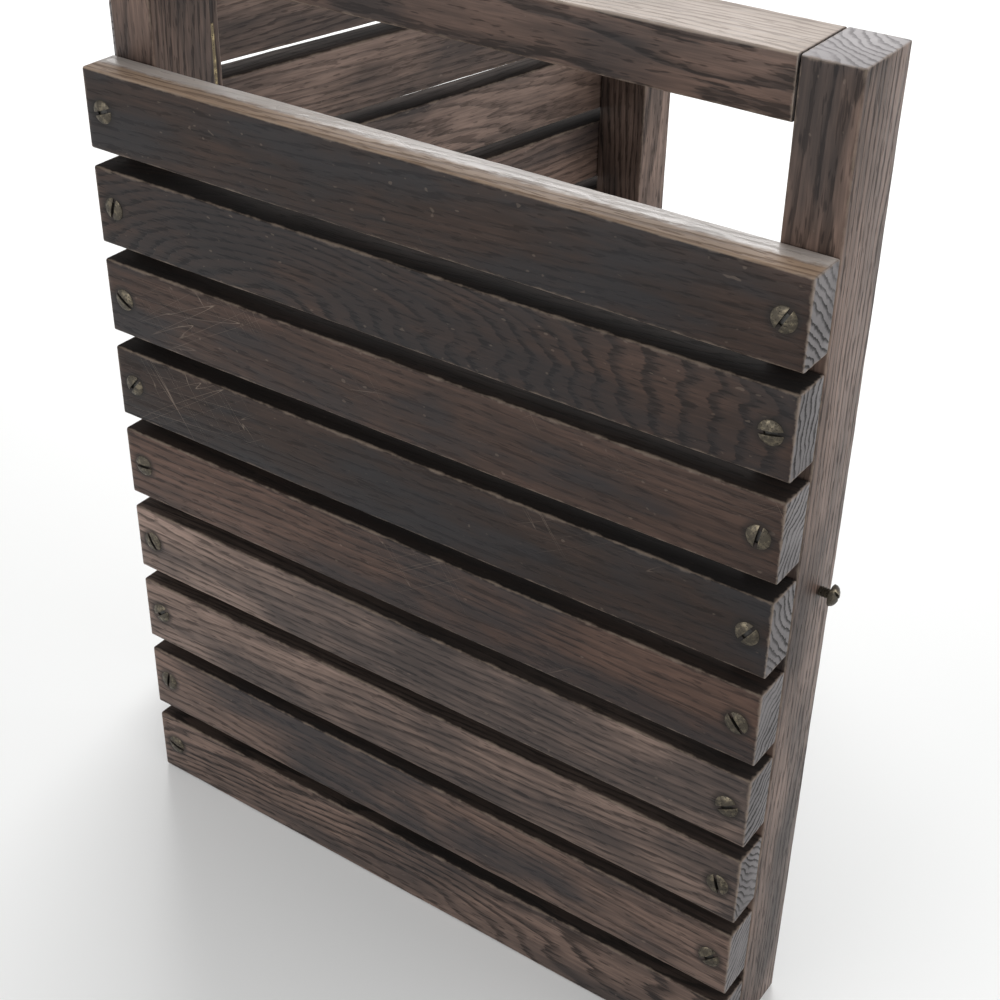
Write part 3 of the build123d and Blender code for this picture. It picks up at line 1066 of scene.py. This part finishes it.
@dataclass
class SlattedLeaf:
    """One leaf of the rack: two posts, two rails and nine slats with their screws."""

    leaf: Leaf
    effects: Effects
    finish: OakFinish
    brass: bpy.types.Material
    # The slots' nearly black material: painted shade in the slots.
    painted_slot_shade: bpy.types.Material
    width: float = 316.0 * MM
    height: float = 422.0 * MM
    stock_width: float = 22.0 * MM
    stock_depth: float = 34.0 * MM
    meeting: float = 0.4 * MM
    bottom_rail: float = 8.0 * MM
    slat_height: float = 34.0 * MM
    slat_pitch: float = 41.0 * MM
    slat_thickness: float = 18.0 * MM
    screw_inset: float = 9.0 * MM
    dowel_radius: float = 3.05 * MM
    dowel_reach: float = 18.5 * MM
    dowel_insets: tuple[float, float] = (6.5 * MM, 16.0 * MM)
    hinge_heights: tuple[float, float] = (87.0 * MM, 335.0 * MM)
    hinge_along: float = 8.3 * MM
    hinge_recess: Triple = (20.7 * MM, 3.1 * MM, 50.1 * MM)
    # A screw hole's inner radius, its depth and its radius at the slat's face.
    screw_sink: Triple = (1.85 * MM, 3.4 * MM, 5.55 * MM)
    sink_inset: float = 1.3 * MM
    post_tones: tuple[float, float] = (1.7, 1.7)
    slats: tuple[Look, ...] = ()
    slot_turns: tuple[float, ...] = ()

    @property
    def body(self) -> str:
        """The CAD body that the leaf is."""
        return self.leaf.name + "_leaf"

    def build(self) -> None:
        """Builds and dresses all of the leaf's wood and screws."""
        last_post, top_rail = self.width - self.stock_width, self.height - self.stock_width
        for label, along, is_hinge in (("hinge_post", 0.0, True), ("free_post", last_post, False)):
            self._finish_board(self._post(label, along, is_hinge), label)
        for label, bottom in (("bottom_rail", self.bottom_rail), ("top_rail", top_rail)):
            self._finish_board(self._rail(label, bottom), label)
        for i, look in enumerate(self.slats):
            label = f"slat_{i + 1}"
            self._finish_board(self._slat(label, i, look), label)
        self._screws()

    def _finish_board(self, board: Board, label: str) -> None:
        """Builds a board, gives it its wood and puts it on its body.

        Args:
            board: The board.
            label: Its name on the leaf.
        """
        piece = board.build()
        Bench.paint(piece, OakPainter(self.finish, board, self.effects).paint())
        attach(piece, self.body)
        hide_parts(f"{self.leaf.name}_{label}")
        log.info("board %s: %d faces", board.name, len(piece.data.polygons))

    def _dowel_cuts(self, rail_bottom: float, ends: list[float]) -> list[Cut]:
        """The dowel bores round the ends of a rail.

        Args:
            rail_bottom: The rail's height above the floor.
            ends: Where its ends are along the leaf.

        Returns:
            The bores.
        """
        cuts = []
        for end in ends:
            for inset in self.dowel_insets:
                middle = self.leaf.spot(end, self.meeting + inset, rail_bottom + self.stock_width / 2)
                size = (self.dowel_radius, 2 * self.dowel_reach, self.dowel_radius)
                cuts.append(Cut(Tap.BORE, tuple(middle), size))
        return cuts

    def _post(self, label: str, along: float, is_hinge: bool) -> Board:
        """An upright, with its dowel bores and its hinge recesses.

        Args:
            label: Its name on the leaf.
            along: Where it starts along the leaf.
            is_hinge: Whether it is the post at the hinges.

        Returns:
            The post, not yet built.
        """
        rail_end = along + self.stock_width if is_hinge else along
        cuts = self._dowel_cuts(self.bottom_rail, [rail_end])
        cuts += self._dowel_cuts(self.height - self.stock_width, [rail_end])
        if is_hinge:
            for height in self.hinge_heights:
                middle = self.leaf.spot(self.hinge_along, self.meeting, height)
                cuts.append(Cut(Tap.POCKET, tuple(middle), self.hinge_recess))
        across = self.meeting + self.stock_depth / 2
        middle = self.leaf.spot(along + self.stock_width / 2, across, self.height / 2)
        size = Vector((self.stock_width, self.stock_depth, self.height))
        seed = 3.0 + along * 7 + self.leaf.degrees * 0.11
        look = Look(
            seed, (0, 0.03, 0.055), (0, 0.02, 0.03), ripple=0.014, contrast=0.5, blue_grey_sheen=0.3, scratched=0.3,
            tone=self.post_tones[0 if is_hinge else 1], end_tone=2.2,
        )
        return Board(f"{self.leaf.name}_{label}_oak", self.leaf, middle, size, Grain.UP, look, cuts=cuts)

    def _rail(self, label: str, bottom: float) -> Board:
        """A rail between the posts, with its dowel bores.

        Args:
            label: Its name on the leaf.
            bottom: Its height above the floor.

        Returns:
            The rail, not yet built.
        """
        cuts = self._dowel_cuts(bottom, [self.stock_width, self.width - self.stock_width])
        across = self.meeting + self.stock_depth / 2
        middle = self.leaf.spot(self.width / 2, across, bottom + self.stock_width / 2)
        size = Vector((self.width - 2 * self.stock_width, self.stock_depth, self.stock_width))
        seed = 5.0 + bottom * 9 + self.leaf.degrees * 0.07
        look = Look(
            seed, (0, 0.05, -0.02), (0, 0.03, 0.03), ripple=0.016, contrast=0.7, blue_grey_sheen=0.3, scratched=0.35,
            tone=1.3, sheen_share=0.4, top_wear_and_sheen=0.9 if label == "top_rail" else 0.1,
        )
        name = f"{self.leaf.name}_{label}_oak"
        return Board(name, self.leaf, middle, size, Grain.ALONG, look, end_rounding=0.35 * MM, cuts=cuts)

    def _slat(self, label: str, index: int, look: Look) -> Board:
        """A slat with a sunk hole near each end.

        Args:
            label: Its name on the leaf.
            index: Its place, counted from the top slat.
            look: The piece of wood that it was cut from.

        Returns:
            The slat, not yet built.
        """
        height = self._slat_height(index)
        face = self.meeting + self.stock_depth
        middle = self.leaf.spot(self.width / 2, face + self.slat_thickness / 2, height)
        cuts = []
        for along in (self.screw_inset, self.width - self.screw_inset):
            sink = self.leaf.spot(along, face + self.slat_thickness - self.sink_inset, height)
            cuts.append(Cut(Tap.SINK, tuple(sink), self.screw_sink))
        size = Vector((self.width, self.slat_thickness, self.slat_height))
        reach = self.width / 2 - self.screw_inset
        name = f"{self.leaf.name}_{label}_oak"
        return Board(name, self.leaf, middle, size, Grain.ALONG, look, screw_reach=reach, cuts=cuts)

    def _slat_height(self, index: int) -> float:
        """How high the middle of a slat is, counted from the top slat."""
        return (len(self.slats) - 1 - index) * self.slat_pitch + self.slat_height / 2

    def _screws(self) -> None:
        """Drives a screw near each end of each slat, each with its slot turned its own way."""
        pattern = SlatScrew(self.brass, self.painted_slot_shade).build()
        face = self.meeting + self.stock_depth + self.slat_thickness - SlatScrew.sunk
        facing = Matrix.Rotation(math.radians(-90 if self.leaf.side > 0 else 90), 4, "X")
        copies = []
        for row, along in enumerate((self.screw_inset, self.width - self.screw_inset)):
            for i in range(len(self.slats)):
                turn = self.slot_turns[(row * len(self.slats) + i) % len(self.slot_turns)]
                copy = pattern.copy()
                copy.data = pattern.data.copy()
                bpy.context.scene.collection.objects.link(copy)
                seat = Matrix.Translation(self.leaf.spot(along, face, self._slat_height(i)))
                turned = facing @ Matrix.Rotation(math.radians(turn), 4, "Z")
                Bench.place(copy, self.leaf.matrix() @ seat @ turned)
                copies.append(copy)
        bpy.data.objects.remove(pattern, do_unlink=True)
        piece = Bench.join(copies, f"{self.leaf.name}_slotted_screws")
        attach(piece, self.body)
        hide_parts(f"{self.leaf.name}_slat_screws")
        log.info("screws of %s: %d faces", self.leaf.name, len(piece.data.polygons))


# Listed from the top slat. The high tones of the lower five slats are partly painted bounce light from the
# floor; the rest of the tone differs from board to board.
FRONT_SLATS = (
    Look(
        1.1, (0, 0.05, 0.06), (0, 0.06, 0.03), tone=0.42, blue_grey_sheen=0.5, contrast=0.3,
        top_wear_and_sheen=0.9, inner_sheen_share=0.75,
    ),
    Look(2.3, (0, 0.0182, -0.018), (0, 0.34, 0.1), ripple=0.018, tone=0.6, contrast=0.75, ring_width=0.0036),
    Look(3.2, (0, 0.05, -0.05), (0, 0.05, 0.04), tone=0.65, blue_grey_sheen=0.5, scratched=0.48, contrast=0.3),
    Look(4.7, (0, 0.06, 0.04), (0, 0.03, 0.02), tone=0.36, blue_grey_sheen=0.45, contrast=0.3, scratched=0.47),
    Look(5.4, (0, 0.05, -0.06), (0, 0.03, 0.04), tone=1.0, blue_grey_sheen=0.4, scratched=0.43, contrast=0.4),
    Look(6.9, (0, -0.05, 0.05), (0, 0.04, 0.04), tone=2.6, blue_grey_sheen=0.35, contrast=0.4),
    Look(7.6, (0, 0.06, 0.05), (0, 0.02, 0.05), tone=2.4, contrast=0.45, ring_width=0.0027),
    Look(8.2, (0, 0.045, -0.06), (0, 0.09, 0.06), tone=1.7, blue_grey_sheen=0.6, contrast=0.4),
    Look(9.5, (0, 0.013, -0.028), (0, 0.22, 0.12), ripple=0.02, tone=1.9, contrast=0.7, ring_width=0.0044),
)
SIDE_SLATS = (
    Look(11.4, (0, 0.04, 0.05), (0, 0.02, 0.03), tone=2.2, contrast=0.3, top_wear_and_sheen=0.9, inner_sheen_share=0.75),
    Look(12.8, (0, -0.05, 0.04), (0, 0.02, 0.02), tone=2.1, contrast=0.3),
    Look(13.1, (0, 0.03, -0.02), (0, 0.12, 0.06), tone=2.2, ripple=0.014, ring_width=0.004, contrast=0.35),
    Look(14.9, (0, 0.05, 0.05), (0, 0.01, 0.02), tone=1.9, contrast=0.3),
    Look(15.3, (0, -0.06, -0.04), (0, 0.02, 0.01), tone=1.9, contrast=0.35),
    Look(16.7, (0, 0.014, 0.03), (0, 0.2, 0.07), tone=1.6, ripple=0.016, contrast=0.6, ring_width=0.0044),
    Look(17.5, (0, 0.05, -0.05), (0, 0.02, 0.02), tone=1.8, contrast=0.4),
    Look(18.6, (0, 0.06, 0.03), (0, 0.01, 0.02), tone=1.5, blue_grey_sheen=0.4, contrast=0.4),
    Look(19.2, (0, -0.04, 0.05), (0, 0.03, 0.03), tone=1.7, contrast=0.4),
)
SLOT_TURNS = (
    *(20.0, 75.0, -35.0, 50.0, 5.0, -60.0, 38.0, 82.0, -15.0),
    *(62.0, 10.0, 80.0, 55.0, -48.0, 30.0, -72.0, 45.0, 0.0),
)


@dataclass
class Fittings:
    """The hinges, the catch and the dowels."""

    effects: Effects
    screw_brass: bpy.types.Material
    keeper_height: float = 221.0 * MM
    keeper_inset: float = 12.4 * MM
    keeper_neck: float = 4.6 * MM
    hook_inset: float = 14.4 * MM
    hook_neck: float = 3.0 * MM
    width: float = 316.0 * MM

    def build(self, front: Leaf, side: Leaf) -> None:
        """Dresses the CAD fittings that stay and models the two round-headed screws.

        Args:
            front: The front leaf's directions.
            side: The side leaf's directions.
        """
        yellow, brown = (0.34, 0.27, 0.15, 1.0), (0.15, 0.12, 0.075, 1.0)
        plates = BrassFinish("hinge_brass", bright=yellow, dull=brown).dress(self.effects)
        beech = DowelFinish().dress()
        for name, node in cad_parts.items():
            if "hinge" in name and ("plate" in name or "pin" in name):
                Bench.paint(node, plates)
            elif "hinge_screws" in name or name == "hook":
                Bench.paint(node, self.screw_brass)
            elif "dowels" in name:
                Bench.paint(node, beech)
        self._proud_screw(front, "keeper_screw", self.keeper_inset, 35.0, self.keeper_neck)
        self._proud_screw(side, "hook_screw", self.hook_inset, 110.0, self.hook_neck)

    def _proud_screw(self, leaf: Leaf, node: str, inset: float, turn: float, neck: float) -> None:
        """Puts a round-headed screw in the end face of a leaf's free post.

        Args:
            leaf: The leaf.
            node: The CAD node that the screw replaces.
            inset: Its distance from the meeting face.
            turn: Its slot's turn, in degrees.
            neck: How far its head stands from the wood.
        """
        piece = RoundHeadScrew(neck=neck).build(node + "_brass")
        seat = Matrix.Translation(leaf.spot(self.width, inset, self.keeper_height))
        facing = Matrix.Rotation(math.radians(90), 4, "Y") @ Matrix.Rotation(math.radians(turn), 4, "Z")
        Bench.place(piece, leaf.matrix() @ seat @ facing)
        Bench.paint(piece, self.screw_brass)
        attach(piece, leaf.name + "_leaf")
        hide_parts(node)
        log.info("screw %s", node)


@dataclass
class Studio:
    """A plain pale floor, soft light and the camera at the photograph's angle."""

    camera_place: Triple = (0.368316, -0.628512, 0.587463)
    camera_turn: Triple = (56.7474, -0.8202, 34.8895)
    lens: float = 61.43
    floor_size: float = 60.0
    floor_gap: float = 0.2 * MM
    floor_colour: Colour = (0.74, 0.745, 0.74, 1.0)
    floor_glow: float = 0.12
    fade_start: float = 0.9
    fade_end: float = 2.4
    world_level: float = 0.55
    backdrop_level: float = 1.0

    def build(self) -> None:
        """Builds the floor, the light and the camera."""
        self._floor()
        self._world()
        self._lamp("behind", (-1.0, 1.45, 1.55), (0.0, -0.1, 0.3), 1.5, 42.0)
        self._lamp("right", (1.7, 0.5, 0.8), (0.1, -0.1, 0.15), 1.2, 14.0)
        self._lamp("front", (-0.5, -1.7, 0.6), (0.0, -0.1, 0.1), 1.2, 11.0)
        self._camera()
        scene = bpy.context.scene
        scene.view_settings.view_transform = "Standard"

    def _floor(self) -> None:
        """The floor, which shows white and keeps the rack's shadow."""
        Bench.clear()
        bpy.ops.mesh.primitive_plane_add(size=self.floor_size, location=(0, 0, -self.floor_gap))
        floor = bpy.context.object
        floor.name = "floor"
        material, w, shader = new_material("pale_floor")
        shader.inputs["Roughness"].default_value = 0.5
        shader.inputs["Emission Color"].default_value = (1.0, 1.0, 1.0, 1.0)
        far = w.ramp(w.vector("LENGTH", w.place()), self.fade_start, self.fade_end)
        path = w.node("ShaderNodeLightPath").outputs
        seen = w.math("MAXIMUM", path["Is Camera Ray"], path["Is Glossy Ray"])
        seen = w.math("MAXIMUM", seen, path["Is Transmission Ray"])
        black = (0.0, 0.0, 0.0, 1.0)
        w.feed(shader.inputs["Base Color"], w.mix(w.times(seen, far), self.floor_colour, black))
        glow = w.plus(self.floor_glow, w.times(far, self.backdrop_level - self.floor_glow))
        w.feed(shader.inputs["Emission Strength"], w.times(seen, glow))
        floor.data.materials.append(material)

    def _world(self) -> None:
        """A white world that lights the rack softly."""
        world = bpy.data.worlds.new("white_room")
        bpy.context.scene.world = world
        world.use_nodes = True
        w = Wiring(world.node_tree)
        background = world.node_tree.nodes["Background"]
        background.inputs["Color"].default_value = (1.0, 1.0, 1.0, 1.0)
        path = w.node("ShaderNodeLightPath")
        seen = w.math("MAXIMUM", path.outputs["Is Camera Ray"], path.outputs["Is Transmission Ray"])
        extra = w.times(seen, self.backdrop_level - self.world_level)
        w.feed(background.inputs["Strength"], w.plus(extra, self.world_level))

    @staticmethod
    def _lamp(name: str, place: Triple, target: Triple, size: float, power: float) -> None:
        """A large soft square lamp.

        Args:
            name: Its name.
            place: Where it is.
            target: What it points at.
            size: Its side, in metres.
            power: Its power, in watts.
        """
        light = bpy.data.lights.new(name, "AREA")
        light.shape = "SQUARE"
        light.size = size
        light.energy = power
        lamp = bpy.data.objects.new(name, light)
        bpy.context.scene.collection.objects.link(lamp)
        lamp.location = place
        lamp.rotation_mode = "QUATERNION"
        lamp.rotation_quaternion = (Vector(target) - Vector(place)).to_track_quat("-Z", "Y")

    def _camera(self) -> None:
        """The camera at the photograph's place and angle."""
        data = bpy.data.cameras.new("camera")
        data.lens = self.lens
        data.sensor_width = 36.0
        data.clip_start = 0.01
        camera = bpy.data.objects.new("camera", data)
        bpy.context.scene.collection.objects.link(camera)
        camera.location = self.camera_place
        camera.rotation_euler = tuple(math.radians(a) for a in self.camera_turn)
        bpy.context.scene.camera = camera


def main() -> None:
    """Builds the rack leaf by leaf, then its fittings and the studio."""
    logging.basicConfig(level=logging.INFO, format="%(name)s: %(message)s")
    effects = Effects()
    screw_brass = BrassFinish("aged_brass").dress(effects)
    # Nearly black colours for the screw slots: painted shade in the slots.
    dirt_and_shade = (0.012, 0.01, 0.008, 1.0)
    painted_slot_shade = BrassFinish("painted_slot_shade", (0.03, 0.026, 0.02, 1.0), dull=dirt_and_shade, metal=0.0).dress(effects)
    front = Leaf("front", 0.0, -1)
    side = Leaf("side", OPENING_DEGREES, 1)
    for leaf, looks, tones in ((front, FRONT_SLATS, (1.7, 1.9)), (side, SIDE_SLATS, (1.9, 2.4))):
        finishes = (effects, OakFinish(), screw_brass, painted_slot_shade)
        SlattedLeaf(leaf, *finishes, post_tones=tones, slats=looks, slot_turns=SLOT_TURNS).build()
        log.info("leaf %s built", leaf.name)
    Fittings(effects, screw_brass).build(front, side)
    Studio().build()


if __name__ == "__main__":
    main()
